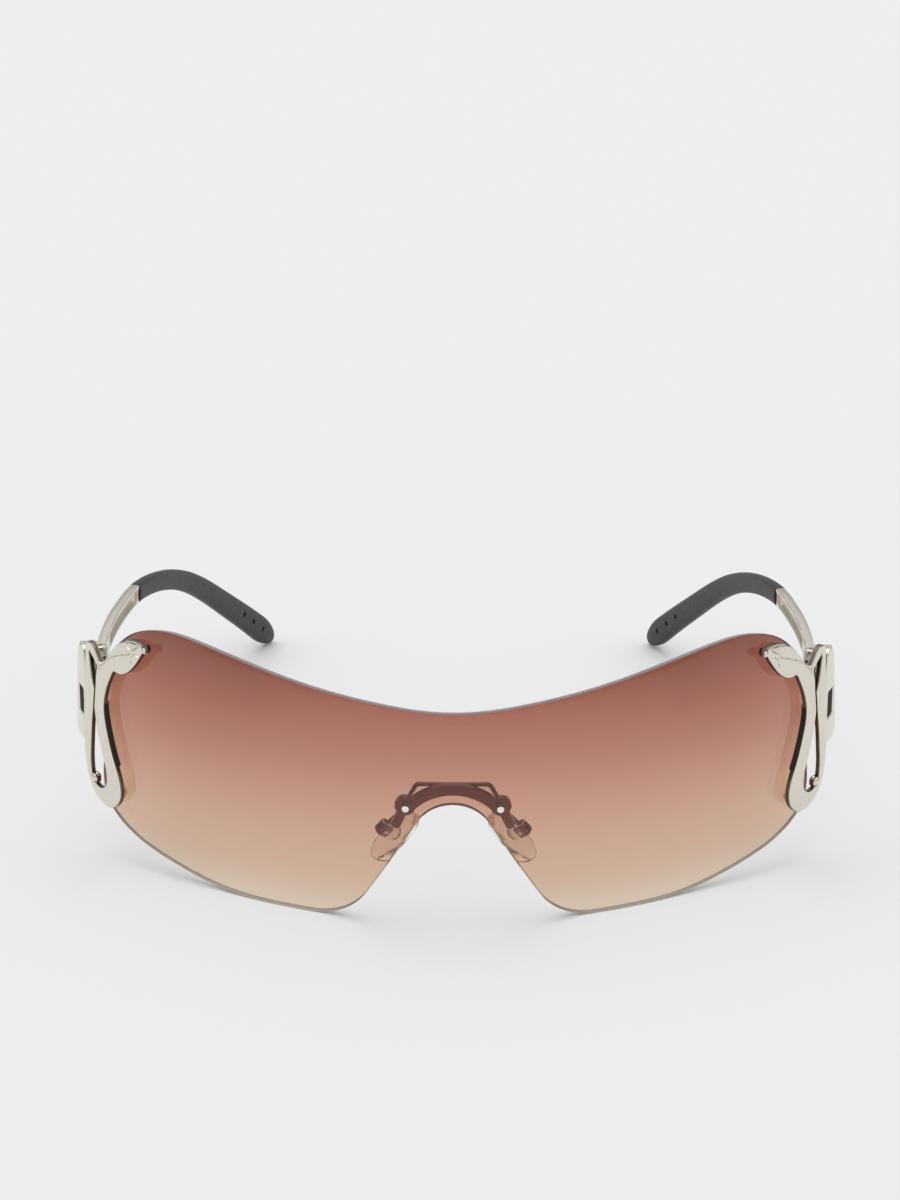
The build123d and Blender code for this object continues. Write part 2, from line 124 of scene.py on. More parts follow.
temple_points = [
    (68.6, 30.0, 39.5), (68.6, 38.3, 39.6), (68.4, 46.0, 39.6), (67.7, 54.0, 39.5),
    (66.4, 62.5, 39.2), (64.9, 70.0, 38.7), (62.6, 79.0, 37.0), (60.1, 88.0, 34.1),
    (56.3, 100.0, 28.2), (53.2, 108.0, 22.5), (49.9, 116.0, 16.0), (46.2, 124.0, 9.1),
    (42.7, 131.0, 2.6), (39.7, 137.0, -2.8),
]
arm_start_y = 39.3
arm_end_y = 70.0
arm_thickness = 2.0
arm_height = 3.8
channel_depth = 0.9
channel_wall = 0.75
channel_start_y = 44.5
channel_end_y = 67.4
sleeve_thickness = 2.8
sleeve_height_front = 3.9
sleeve_height_tip = 4.7
sleeve_gap = 0.05
sleeve_squareness = 2.9
paddle_height = 5.5
tip_y = 133.6
tip_round = 1.15
tip_dimple_diameter = 1.15
tip_dimple_depth = 0.6
tip_dimple_start = 5.4
tip_dimple_spacing = 3.6
tip_dimple_count = 3

panel_line = [
    (71.0, 34.6), (71.6, 36.8), (72.7, 39.6), (74.0, 43.0), (74.7, 45.6), (75.1, 47.0),
]
panel_thickness = 1.2
panel_outline = [(36.6, 20.9), (45.6, 20.9), (41.3, 41.1), (38.2, 41.1)]
panel_corner_rounds = [0.9, 1.8, 1.5, 1.3]
slot_outline = [(39.0, 26.2), (42.4, 26.2), (42.4, 32.0), (39.0, 32.0)]
slot_round = 0.25
inlay_recess = 0.3
inlay_clearance = 0.04
inlay_round = 0.22
block_bottom = 35.4
block_drop = 1.1
block_back_y = 43.2
block_setback = 0.02
arm_edge = 0.45


# ---- curves and outlines, in a drawing's own millimetres ----
def curve_through(points, step):
    """Points along the smooth curve through these points, about a step apart."""
    knots = np.array(points, float)
    spans = np.linalg.norm(np.diff(knots, axis=0), axis=1)
    n = len(knots)
    system = np.zeros((n, n))
    right = np.zeros_like(knots)
    system[0, 0] = system[-1, -1] = 1
    for i in range(1, n - 1):
        before, after = spans[i - 1], spans[i]
        system[i, i - 1:i + 2] = before, 2 * (before + after), after
        right[i] = 6 * ((knots[i + 1] - knots[i]) / after - (knots[i] - knots[i - 1]) / before)
    bend = np.linalg.solve(system, right)
    out = []
    for i in range(n - 1):
        count = max(1, math.ceil(spans[i] / step))
        for k in range(count):
            a = spans[i] * k / count
            b = spans[i] - a
            straight = (knots[i] * b + knots[i + 1] * a) / spans[i]
            pull_before = bend[i] * (b**3 / spans[i] - b * spans[i])
            pull_after = bend[i + 1] * (a**3 / spans[i] - a * spans[i])
            sag = (pull_before + pull_after) / 6
            out.append(straight + sag)
    out.append(knots[-1])
    return [tuple(p) for p in out]


def straight_run(start, end, step):
    """Points along a straight line, at most a step apart, both ends included."""
    start, end = np.array(start, float), np.array(end, float)
    count = max(1, math.ceil(np.linalg.norm(end - start) / step))
    return [tuple(start + (end - start) * k / count) for k in range(count + 1)]


def joined(*runs):
    """One closed outline from runs that meet end to end."""
    points = []
    for run in runs:
        for point in run:
            if not points or math.dist(points[-1], point) > 1e-3:
                points.append(tuple(point))
    if math.dist(points[0], points[-1]) < 1e-3:
        points.pop()
    return points


def corner_arc(corner, before, after, radius):
    """Arc that rounds a corner: its middle, its two ends from there, and half the corner's angle."""
    here = Vector(corner)
    back = (Vector(before) - here).normalized()
    ahead = (Vector(after) - here).normalized()
    half = back.angle(ahead) / 2
    reach = radius / math.tan(half)
    middle = here + (back + ahead).normalized() * (radius / math.sin(half))
    return middle, here + back * reach - middle, here + ahead * reach - middle, half


def rounded_polygon(corners, rounds, step):
    """Closed outline with an arc at each corner."""
    points = []
    last = len(corners)
    for i, corner in enumerate(corners):
        after = corners[(i + 1) % last]
        middle, begin, finish, _ = corner_arc(corner, corners[i - 1], after, rounds[i])
        sweep = begin.angle_signed(finish)
        count = max(2, math.ceil(abs(sweep) * rounds[i] / step))
        for k in range(count + 1):
            turn = -sweep * k / count
            x = begin.x * math.cos(turn) - begin.y * math.sin(turn)
            y = begin.x * math.sin(turn) + begin.y * math.cos(turn)
            points.append((middle.x + x, middle.y + y))
    dense = []
    for i, point in enumerate(points):
        dense += straight_run(point, points[(i + 1) % len(points)], step)[:-1]
    return dense


def round_turns(count):
    """Evenly spaced angles, once round."""
    return [2 * math.pi * k / count for k in range(count)]


def ring(centre, radius, count):
    """Circle as a closed outline."""
    x, y = centre
    return [(x + radius * math.cos(a), y + radius * math.sin(a)) for a in round_turns(count)]


def oblong(length, width, power, count):
    """Closed outline between an ellipse and a rectangle."""
    def reach(size, part):
        return size / 2 * math.copysign(abs(part) ** (2 / power), part)

    return [(reach(length, math.cos(a)), reach(width, math.sin(a))) for a in round_turns(count)]


def fillet_of(corner, start, end, radius, step):
    """Arc that rounds one corner between two straight runs."""
    middle, arm, goal, half = corner_arc(corner, start, end, radius)
    angle = math.pi - 2 * half
    count = max(2, math.ceil(angle * radius / step))
    points = []
    for k in range(count + 1):
        share = k / count
        weight_a = math.sin((1 - share) * angle) / math.sin(angle)
        weight_b = math.sin(share * angle) / math.sin(angle)
        points.append(tuple(middle + arm * weight_a + goal * weight_b))
    return points


# ---- plates: a flat drawing given thickness, rounded edges and a place in space ----
def inside(points, outline):
    """True for each point within a closed outline."""
    x, y = points[:, 0:1], points[:, 1:2]
    a = np.array(outline)
    b = np.roll(a, -1, axis=0)
    spans = (a[:, 1] > y) != (b[:, 1] > y)
    with np.errstate(divide="ignore", invalid="ignore"):
        cross = (b[:, 0] - a[:, 0]) * (y - a[:, 1]) / (b[:, 1] - a[:, 1]) + a[:, 0]
    return (spans & (x < cross)).sum(axis=1) % 2 == 1


def within(points, outlines):
    """True for each point inside the first outline and outside the others."""
    found = inside(points, outlines[0])
    for opening in outlines[1:]:
        found &= ~inside(points, opening)
    return found


def sideways_of(along):
    """Unit directions square to these."""
    normal = np.stack([-along[:, 1], along[:, 0]], axis=1)
    return normal / np.linalg.norm(normal, axis=1)[:, None]


def distance_to(points, outlines):
    """Distance from each point to the nearest edge of any outline."""
    best = np.full(len(points), 1e9)
    for outline in outlines:
        a = np.array(outline)
        span = np.roll(a, -1, axis=0) - a
        length = (span**2).sum(axis=1)
        for part in range(0, len(points), 2000):
            some = points[part:part + 2000]
            offset = some[:, None, :] - a[None, :, :]
            share = np.clip((offset * span).sum(axis=2) / length, 0, 1)
            gap = offset - share[:, :, None] * span
            nearest = np.sqrt((gap**2).sum(axis=2)).min(axis=1)
            best[part:part + 2000] = np.minimum(best[part:part + 2000], nearest)
    return best


def drawn_mesh(outlines, bevel, grid, lines=()):
    """Triangles of a drawing: outline, rows inside it for the edge, an even grid, rows along lines."""
    rim = []
    edges = []
    for outline in outlines:
        start = len(rim)
        rim += outline
        count = len(outline)
        edges += [(start + i, start + (i + 1) % count) for i in range(count)]
    rim = np.array(rim)
    free = []
    for outline in outlines:
        a = np.array(outline)
        normal = sideways_of(np.roll(a, -1, axis=0) - np.roll(a, 1, axis=0))
        for share in (0.12, 0.38, 0.7, 1.0):
            for way in (1, -1):
                free.append((a + normal * way * bevel * share, bevel * share * 0.93))
    for line, width in lines:
        a = np.array(curve_through(line, width * 0.8))
        normal = sideways_of(np.gradient(a, axis=0))
        for reach in (-1.15, -0.55, 0, 0.55, 1.15):
            free.append((a + normal * reach * width, 0.05))
    low, high = rim.min(axis=0), rim.max(axis=0)
    across = np.arange(low[0], high[0], grid)
    up = np.arange(low[1], high[1], grid)
    x, y = np.meshgrid(across, up)
    x[1::2] += grid / 2
    free.append((np.stack([x.ravel(), y.ravel()], axis=1), bevel + grid * 0.35))
    kept = [rim]
    for points, least in free:
        points = points[within(points, outlines)]
        kept.append(points[distance_to(points, outlines) >= least])
    points = np.concatenate(kept)
    verts, _, faces, _, _, _ = delaunay_2d_cdt([Vector(p) for p in points], edges, [], 0, 1e-6)
    flat = np.array([(v.x, v.y) for v in verts])
    middles = np.array([flat[list(face)].mean(axis=0) for face in faces])
    return flat, [face for face, keep in zip(faces, within(middles, outlines)) if keep]


def plate(name, outlines, place, low, high, bevels, grid, relief=None, lines=(), painted_shade_slot=0):
    """Solid sheet between two heights; place(u, v, height) puts a drawn point in space.

    Its side walls and the outermost part of its upper bevel take the finish numbered by the last argument,
    where a darker metal paints shade and dark reflection as an outline.
    """
    low_bevel, high_bevel = bevels
    flat, faces = drawn_mesh(outlines, max(bevels), grid, lines)
    gap = distance_to(flat, outlines)
    gap[gap < 1e-4] = 0

    def drop(bevel):
        near = 1 - np.clip(gap / bevel, 0, 1)
        return bevel * (1 - np.sqrt(1 - near**2))

    top = high - drop(high_bevel)
    if relief is not None:
        top += relief(flat[:, 0], flat[:, 1], gap)
    bottom = low + drop(low_bevel)
    mesh = bmesh.new()
    upper = [mesh.verts.new(place(u, v, h) * MM) for (u, v), h in zip(flat, top)]
    lower = [mesh.verts.new(place(u, v, h) * MM) for (u, v), h in zip(flat, bottom)]
    sides_of = {}
    for face in faces:
        # Painted shade: the outermost strip of the upper bevel takes the wall finish, a painted dark
        # outline.
        painted_dark_rim = gap[face].max() < high_bevel * 0.4
        mesh.faces.new([upper[i] for i in face]).material_index = painted_shade_slot if painted_dark_rim else 0
        mesh.faces.new([lower[i] for i in reversed(face)])
        for i, j in zip(face, face[1:] + face[:1]):
            if (j, i) in sides_of:
                del sides_of[(j, i)]
            else:
                sides_of[(i, j)] = True
    for i, j in sides_of:
        mesh.faces.new([upper[j], upper[i], lower[i], lower[j]]).material_index = painted_shade_slot
    return finished(name, mesh)


def smooth_but_for_edges(mesh, crease=38):
    """Smooth faces; edges that turn by more than the crease stay sharp."""
    for face in mesh.faces:
        face.smooth = True
    for edge in mesh.edges:
        if len(edge.link_faces) == 2:
            edge.smooth = edge.calc_face_angle(0) < math.radians(crease)


def object_of(name, mesh):
    """Object in the scene from a built mesh."""
    data = bpy.data.meshes.new(name)
    mesh.to_mesh(data)
    mesh.free()
    obj = bpy.data.objects.new(name, data)
    bpy.context.scene.collection.objects.link(obj)
    return obj


def finished(name, mesh, crease=38):
    """Object from a built mesh, cleaned, smooth but for its real edges."""
    loose = [v for v in mesh.verts if not v.link_faces]
    bmesh.ops.delete(mesh, geom=loose, context="VERTS")
    bmesh.ops.remove_doubles(mesh, verts=mesh.verts, dist=1e-7)
    bmesh.ops.recalc_face_normals(mesh, faces=mesh.faces)
    smooth_but_for_edges(mesh, crease)
    return object_of(name, mesh)


def other_side(obj, name):
    """Mirrored twin across the middle of the face."""
    mesh = bmesh.new()
    mesh.from_mesh(obj.data)
    for vert in mesh.verts:
        vert.co.x = -vert.co.x
    bmesh.ops.reverse_faces(mesh, faces=mesh.faces)
    return object_of(name, mesh)


def cut_out(obj, cutter):
    """Takes the cutter's volume out of a piece, and the cutter out of the scene."""
    cut = obj.modifiers.new("cut", "BOOLEAN")
    cut.object = cutter
    cut.solver = "EXACT"
    graph = bpy.context.evaluated_depsgraph_get()
    data = bpy.data.meshes.new_from_object(obj.evaluated_get(graph))
    obj.modifiers.clear()
    mesh = bmesh.new()
    mesh.from_mesh(data)
    smooth_but_for_edges(mesh)
    mesh.to_mesh(data)
    mesh.free()
    obj.data = data
    bpy.data.objects.remove(cutter)


def on_shell(turn):
    """Placing of a drawing on the balls round the lens's centre, turned from straight ahead."""
    angle = math.radians(turn)
    along = Vector((math.cos(angle), math.sin(angle), 0))
    outward = Vector((math.sin(angle), -math.cos(angle), 0))

    def place(u, v, radius):
        rise = v - lens_centre_height
        reach = math.sqrt(radius**2 - u**2 - rise**2)
        return lens_centre + along * u + outward * reach + Vector((0, 0, rise))

    return place


on_lens = on_shell(0)
on_serpent = on_shell(serpent_turn)


def square_to_lens(u, v, radius):
    """Placing of the lens's drawing, with its edges cut square to the surface."""
    outer = on_lens(u, v, lens_radius)
    return lens_centre + (outer - lens_centre) * (radius / lens_radius)


def skin(mesh, rings):
    """Closed skin over a row of rings with equal point counts."""
    rows = [[mesh.verts.new(Vector(p) * MM) for p in points] for points in rings]
    for one, two in zip(rows, rows[1:]):
        count = len(one)
        for i in range(count):
            j = (i + 1) % count
            mesh.faces.new([one[i], one[j], two[j], two[i]])
    mesh.faces.new(rows[0][::-1])
    mesh.faces.new(rows[-1])


def swept(name, rings, crease=38):
    mesh = bmesh.new()
    skin(mesh, rings)
    return finished(name, mesh, crease)


def circle(middle, across, other, radius, count):
    """Points round a circle in space, in the plane of two directions."""
    turns = round_turns(count)
    return [middle + (across * math.cos(a) + other * math.sin(a)) * radius for a in turns]


def turned(name, spots, profile, count=28):
    """Round pieces on axes: profile is (height over the axis point, radius)."""
    mesh = bmesh.new()
    for origin, axis in spots:
        across = axis.orthogonal().normalized()
        other = axis.cross(across)
        skin(mesh, [
            circle(origin + axis * height, across, other, radius, count) for height, radius in profile
        ])
    return finished(name, mesh)


# ---- lens ----
def lens_drawing():
    """Lens's outline seen from the front: arch, flanks and feet of the notch, then the rim."""
    half, top, brow = lens_half_width, lens_corner_height, lens_brow_height
    step = 0.8
    rim = curve_through([
        (lens_foot_reach - 4, 0.0), (lens_foot_reach, 0.0), (0.66 * half, 0.012 * top),
        (0.81 * half, 0.058 * top), (0.93 * half, 0.118 * top), (0.983 * half, 0.185 * top),
        (half, 0.42 * top),
        (0.992 * half, 0.70 * top), (0.965 * half, 0.835 * top), (0.90 * half, 0.94 * top),
        (0.80 * half, 0.992 * top), (0.70 * half, 0.991 * top),
        (0.44 * half, brow + 0.52 * (top - brow)), (0.22 * half, brow + 0.19 * (top - brow)),
        (0, brow), (-0.22 * half, brow + 0.19 * (top - brow)),
    ], step)
    rim = [p for p in rim if p[0] >= 0]
    lean = math.radians(nose_flank_angle)
    arc_centre = nose_arch_height - nose_arch_radius
    shoulder = (nose_arch_radius * math.cos(lean), arc_centre + nose_arch_radius * math.sin(lean))
    foot = (shoulder[0] + shoulder[1] * math.tan(lean), 0)
    flank = fillet_of(foot, shoulder, (lens_foot_reach, 0), nose_foot_radius, step)
    turns = [math.radians(a) for a in np.arange(90, nose_flank_angle, -4)]
    arch = [(nose_arch_radius * math.cos(a), arc_centre + nose_arch_radius * math.sin(a)) for a in turns]
    half_line = joined(arch, straight_run(shoulder, flank[0], step), flank, rim)
    middle_free = [p for p in half_line if p[0] > 1e-3]
    mirrored = [(-x, z) for x, z in reversed(middle_free)]
    return [(0, nose_arch_height)] + middle_free + [(0, brow)] + mirrored


def make_lens():
    """Lens, bored for the bridge pins, with its cut edges in a finish of their own that paints their
    reflection and shade.
    """
    pins = [(bridge_pin_half_span * s, bridge_pin_height) for s in (1, -1)]
    bores = [ring(spot, post_diameter / 2 + bore_clearance, 24) for spot in pins]
    inner = lens_radius - lens_thickness
    bevels = (lens_edge_round, lens_edge_round)
    lens = plate(
        "lens_shield", [lens_drawing()] + bores, square_to_lens, inner, lens_radius, bevels, 2.6
    )
    for face in lens.data.polygons:
        out = (face.center - lens_centre * MM).normalized()
        face.material_index = 0 if abs(face.normal.dot(out)) > 0.75 else 1
    return lens


# ---- serpents ----
bead_places = (("snout", (-9.55, 46.8), 0.72), ("rivet", (3.75, 16.3), 1.0))
collar_width = 0.12
collar_edge = 0.06
collar_sink = 0.2
notch = (-2.0, 40.5)
apex_outer = (8.2, 42.6)


def serpent_edge():
    """Serpent's edge from the notch under the head, round the loop, to the fold's outer corner."""
    return curve_through([
        notch, (-0.5, 36.4), (-0.1, 32.8), (-1.3, 28.1), (-3.1, 23.0), (-4.7, 18.2), (-4.5, 14.9),
        (-2.7, 12.3), (0.3, 10.8), (3.2, 11.5), (5.5, 14.0), (6.5, 18.5), (6.7, 26.0), (7.0, 36.0),
        (7.7, 40.8), apex_outer,
    ], 0.4)


def serpent_drawing():
    """Serpent's outline: body, rounded fold, crown, snout and jaw."""
    neck, apex_inner = (2.3, 40.9), (4.8, 43.0)
    snout_top, snout_low = (-9.6, 47.3), (-9.4, 46.5)
    step = 0.4
    body = serpent_edge()
    fold_top = curve_through([apex_outer, (7.6, 43.3), (6.2, 43.6), apex_inner], step)
    crown = curve_through([
        neck, (0.4, 42.7), (-1.2, 45.1), (-2.7, 46.6), (-4.6, 47.5), (-6.8, 47.9), (-8.5, 47.7),
        snout_top,
    ], step)
    jaw = curve_through(
        [snout_low, (-8.6, 44.7), (-7.3, 42.7), (-5.7, 41.2), (-3.9, 40.5), notch], step
    )
    return joined(
        body, fold_top, straight_run(apex_inner, neck, step), crown,
        straight_run(snout_top, snout_low, step), jaw,
    )


def serpent_opening():
    """Opening within the coil: the V under the fold, the seam and the drop."""
    seam, half, v_low, drop_top, step = 3.25, seam_gap / 2, 35.4, 31.6, 0.35
    wedge_left, wedge_right = (seam - half, v_low), (seam + half, v_low)
    v_top, v_neck = (6.5, 41.9), (3.15, 40.0)
    drop_left, drop_right = (seam - half, drop_top), (seam + half, drop_top)
    drop = curve_through([
        drop_left, (2.35, 28.6), (1.4, 25.5), (0.4, 22.2), (-0.4, 19.2), (-0.2, 16.7), (1.9, 14.7),
        (3.9, 15.3), (4.6, 17.8), (4.2, 22.6), (3.65, 28.2), drop_right,
    ], step)
    return joined(
        straight_run(wedge_left, v_neck, step), straight_run(v_neck, v_top, step),
        straight_run(v_top, wedge_right, step), straight_run(wedge_right, drop_right, step),
        drop[::-1], straight_run(drop_left, wedge_left, step),
    )


head_ridge = [(2.9, 38.4), (1.9, 40.4), (0.2, 42.1), (-1.9, 43.5), (-4.2, 44.5), (-6.0, 45.2)]
ridge_rise = 0.26
ridge_spread = 3.0
eye_lines = [
    [(-4.9, 47.3), (-5.1, 46.6), (-5.9, 46.2), (-6.9, 46.3), (-7.8, 47.0)],
    [(-8.4, 45.4), (-7.6, 45.6), (-6.9, 45.1), (-6.7, 44.3), (-6.9, 43.7)],
]
fold_lines = [
    [(0.2, 41.9), (1.2, 40.9), (2.1, 39.4)],
    [(1.3, 41.5), (2.3, 40.2), (2.9, 38.9)],
]
engraved_lines = [(head_ridge, 0.13)] + [(line, 0.12) for line in eye_lines + fold_lines]
engraved_depth = 0.24


def near_line(u, v, line, width):
    """1 on a drawn line, falling to 0 at its half width."""
    gap = np.full(len(u), 1e9)
    for x, y in curve_through(line, 0.1):
        gap = np.minimum(gap, np.hypot(u - x, v - y))
    return np.clip(1 - gap / width, 0, 1)


def serpent_relief(u, v, gap):
    """Ridge along the head, with engraved lines for its crest, the eyes and the neck's folds."""
    inner = np.clip(gap / serpent_bevel, 0, 1)
    height = ridge_rise * near_line(u, v, head_ridge, ridge_spread) * inner
    for line, width in engraved_lines:
        height -= engraved_depth * near_line(u, v, line, width * 1.2) * inner
    return height - ridge_rise


def make_serpent():
    return plate(
        "serpent_left_cast", [serpent_drawing(), serpent_opening()], on_serpent, serpent_low,
        serpent_low + serpent_thickness, (0.15, serpent_bevel), 0.34, serpent_relief,
        engraved_lines, painted_shade_slot=1,
    )


def axis_through(place, u, v):
    """Point on the lens's outer face and the direction straight out of it."""
    point = place(u, v, lens_radius)
    return point, (point - lens_centre).normalized()


def make_beads():
    """Small balls: one closes the snout, one sits in the lower corner of the drop."""
    turns = [math.pi * (k + 0.5) / 10 for k in range(10)]
    beads = []
    for name, (u, v), radius in bead_places:
        middle = on_serpent(u, v, serpent_low + serpent_thickness * 0.5)
        _, axis = axis_through(on_serpent, u, v)
        profile = [(-radius * math.cos(a), radius * math.sin(a)) for a in turns]
        beads.append(turned("serpent_left_" + name, [(middle, axis)], profile, 20))
    return beads


def make_collars():
    """Rings that the beads stand in, dressed as painted shade: a dark outline round each bead."""
    painted_shade_collars = []
    low = serpent_standoff + collar_sink
    high = serpent_standoff + serpent_thickness - ridge_rise + collar_edge
    for name, (u, v), radius in bead_places:
        wide = radius + collar_width
        profile = [(low, wide), (high - collar_edge, wide), (high, wide - collar_edge)]
        spots = [axis_through(on_serpent, u, v)]
        painted_shade_collars.append(turned("serpent_left_collar_" + name, spots, profile, 24))
    return painted_shade_collars


def make_posts():
    """Posts under the serpent, through the lens to the nuts."""
    low = -lens_thickness - seat_gap
    radius = post_diameter / 2
    profile = [(low, radius), (serpent_standoff + 0.3, radius)]
    spots = [axis_through(on_serpent, u, v) for u, v in serpent_posts]
    return turned("serpent_left_posts", spots, profile)


def make_pins():
    """Bridge pins with polished, slightly domed ends."""
    radius = post_diameter / 2
    low = -lens_thickness - bridge_lens_gap - bridge_thickness
    edge = 0.12
    profile = [
        (low, radius - edge), (low + edge, radius), (-edge, radius),
        (-edge * 0.3, radius - edge * 0.3), (0, radius - edge),
    ]
    spots = [axis_through(on_lens, bridge_pin_half_span * s, bridge_pin_height) for s in (1, -1)]
    return turned("bridge_pins_polished", spots, profile)


def strip_drawing(near, far, taper):
    """Band along the serpent's inner edge, between two distances from it, tapered at both ends."""
    edge = [p for p in serpent_edge() if strip_foot <= p[1] <= strip_head and p[0] < 2]
    out, back = [], []
    for i, (x, y) in enumerate(edge):
        before, after = edge[max(i - 1, 0)], edge[min(i + 1, len(edge) - 1)]
        along = Vector((after[0] - before[0], after[1] - before[1])).normalized()
        ends = taper * len(edge)
        share = min(1, (i + 0.3) / ends, (len(edge) - i - 0.7) / ends)
        reach = near + (far - near) * share
        out.append((x + along.y * reach, y - along.x * reach))
        back.append((x + along.y * near, y - along.x * near))
    return joined(out, back[::-1])


def make_cushion():
    """Rubber strip between lens and serpent, and its lip up the serpent's inner wall."""
    low, high = lens_radius + seat_gap, serpent_low - seat_gap
    under = strip_drawing(-cushion_setback - 0.6, -cushion_setback - cushion_width, 0.05)
    lip = strip_drawing(strip_clearance, strip_clearance + strip_lip, 0.2)
    lip_low, lip_high = serpent_low - 0.1, serpent_low + strip_rise
    return (
        plate("serpent_left_strip", [under], on_serpent, low, high, (0.1, 0.1), 0.5),
        plate("serpent_left_strip_lip", [lip], on_serpent, lip_low, lip_high, (0.03, 0.04), 0.5),
    )


# ---- nose pads and their wire ----
pad_normal = pad_inward.normalized()
pad_long = (pad_down - pad_normal * pad_down.dot(pad_normal)).normalized()
pad_side = pad_normal.cross(pad_long)
pad_origin = pad_centre + Vector((0, front_y, 0))


def on_pad(u, v, height):
    """Placing of a drawing on the left pad: along it, across it, out of its face."""
    return pad_origin + pad_long * u + pad_side * v + pad_normal * height


def make_pad():
    """Left pad, the boss on its back and the flat tongue that turns in the box."""
    half = pad_thickness / 2
    outline = oblong(pad_length, pad_width, 2.15, 72)
    body = plate("nose_pad_left_clear", [outline], on_pad, -half, half, (0.95, 0.95), 0.5)
    boss_foot = Vector(on_pad(-pad_boss_offset, 0, 0))
    radius = pad_boss_diameter / 2
    edge = 0.25
    low = -half - pad_boss_height
    boss = turned("nose_pad_left_boss", [(boss_foot, pad_normal)], [
        (low, radius - edge), (low + edge * 0.3, radius - edge * 0.3), (low + edge, radius),
        (-half + 0.3, radius),
    ])
    end = -pad_pivot_depth - tongue_width / 2 + 0.1
    deep = tongue_thickness / 2
    rings = []
    for height, fullness in ((end, 0.7), (-pad_pivot_depth - 0.4, 1.0), (low, 1.0)):
        wide = tongue_width / 2 * fullness
        corners = [(-wide, -deep), (wide, -deep), (wide, deep), (-wide, deep)]
        rings.append([on_pad(-pad_boss_offset + u, v, height) for u, v in corners])
    return body, boss, swept("nose_pad_left_tongue", rings)


def make_pad_box():
    """Metal box of U section that holds the pad's tongue, rounded at the back."""
    half, wall = box_width / 2, tongue_thickness / 2 + seat_gap
    front = box_lip - pad_pivot_depth
    back = front - box_depth
    outline = rounded_polygon([
        (-half, front), (-half, back), (half, back), (half, front),
        (wall, front), (wall, back + box_floor), (-wall, back + box_floor), (-wall, front),
    ], [0.2, 0.95, 0.95, 0.2, 0.1, 0.15, 0.15, 0.1], 0.15)

    def place(u, v, height):
        return on_pad(-pad_boss_offset + height, u, v)

    length = box_length / 2 - seat_gap
    return plate("pad_box_left_bent", [outline], place, -length, length, (0.3, 0.3), 0.3)


def wire_route():
    """Wire's corner points: bridge bar, shoulder, straight run into the pad box."""
    bar_back = lens_radius - lens_thickness - bridge_lens_gap - bridge_thickness
    middle = bar_back - seat_gap - pad_wire_diameter / 2
    top = bridge_arc_height + bridge_arc_radius + bridge_bar_width * 0.2
    box_front = -pad_pivot_depth + box_lip
    box_top = on_pad(-pad_boss_offset - box_length / 2, 0, box_front - box_depth / 2)
    corner = on_lens(0.76 * bridge_pin_half_span, top, middle)
    centre = on_lens(0, top, middle)
    half = [corner, box_top - pad_long * pad_wire_lead, box_top]
    return [Vector((-p.x, p.y, p.z)) for p in reversed(half)] + [centre] + half


def rounded_route(points, radius, count):
    """Route with its corners rounded by short arcs."""
    out = [points[0]]
    for before, here, after in zip(points, points[1:], points[2:]):
        back = (before - here).normalized()
        ahead = (after - here).normalized()
        half = back.angle(ahead) / 2
        if math.degrees(half) > 88:
            out.append(here)
            continue
        reach = radius / math.tan(half)
        for k in range(count + 1):
            share = k / count
            one = here + back * reach * (1 - share)
            two = here + ahead * reach * share
            out.append(one.lerp(two, share))
    return out + [points[-1]]


def make_wire():
    """Round wire along its route."""
    route = rounded_route(wire_route(), pad_wire_bend, 8)
    rings = []
    side = Vector((0, 0, 1))
    for i, here in enumerate(route):
        along = (route[min(i + 1, len(route) - 1)] - route[max(i - 1, 0)]).normalized()
        side = (side - along * side.dot(along)).normalized()
        rings.append(circle(here, side, along.cross(side), pad_wire_diameter / 2, 16))
    return swept("pad_wire_bent", rings)


# ---- temples ----
temple_route = [Vector(p) for p in curve_through(temple_points, 0.5)]


def temple_station(y):
    """Place on the temple's middle line, with its outward, upward and backward directions."""
    for i, (one, two) in enumerate(zip(temple_route, temple_route[1:])):
        if two.y >= y:
            break
    share = (y - one.y) / (two.y - one.y)
    point = one.lerp(two, share)
    ahead = temple_route[min(i + 2, len(temple_route) - 1)]
    behind = temple_route[max(i - 1, 0)]
    along = (ahead - behind).normalized()
    outward = Vector((along.y, -along.x, 0)).normalized()
    upward = along.cross(outward)
    if upward.z < 0:
        upward = -upward
    return point + Vector((0, front_y, 0)), outward, upward, along


def soft_section(thickness, height):
    return oblong(thickness, height, sleeve_squareness, 28)


def temple_ring(y, section, lift=0.0):
    """Section placed across the temple, raised by the lift."""
    point, outward, upward, _ = temple_station(y)
    return [point + outward * a + upward * (b + lift) for a, b in section]


